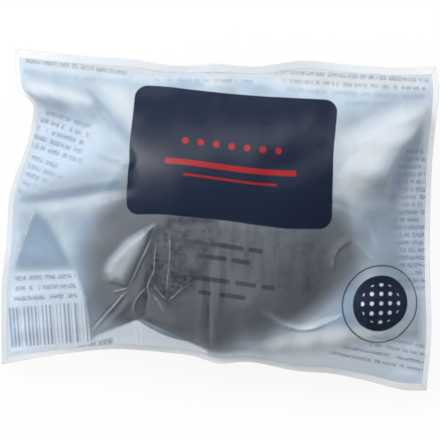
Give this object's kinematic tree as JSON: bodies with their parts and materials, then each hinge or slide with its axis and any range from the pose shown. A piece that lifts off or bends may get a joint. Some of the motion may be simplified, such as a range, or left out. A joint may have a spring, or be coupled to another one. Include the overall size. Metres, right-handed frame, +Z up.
{
  "type": "konjac sponge",
  "caption": "Charcoal-grey half-dome konjac sponge, moist and porous, sealed in a frosted clear film pouch with heat-sealed edges that lies on its flat back.",
  "frame": {"origin": "on the surface that the pouch lies on, under the middle of the pouch's box", "axes": "+X to the pouch's right as its front is read, +Y to its top edge, +Z up out of its front film"},
  "size_m": [0.1414, 0.1108, 0.0338],
  "materials": {
    "sponge": "damp, finely porous, matte",
    "film": "frosted, satin, translucent",
    "seal": "fused film, satin, translucent"
  },
  "bodies": {
    "pouch": {"front_film": "film", "back_film": "film", "top_seal": "seal", "bottom_seal": "seal", "left_weld": "seal", "right_weld": "seal"},
    "sponge": {"sponge": "sponge"}
  },
  "joints": [
    {"name": "sponge_slide", "type": "slide", "parent": "pouch", "child": "sponge", "axis": [0, 1, 0], "range_m": [0, 0.008]}
  ]
}
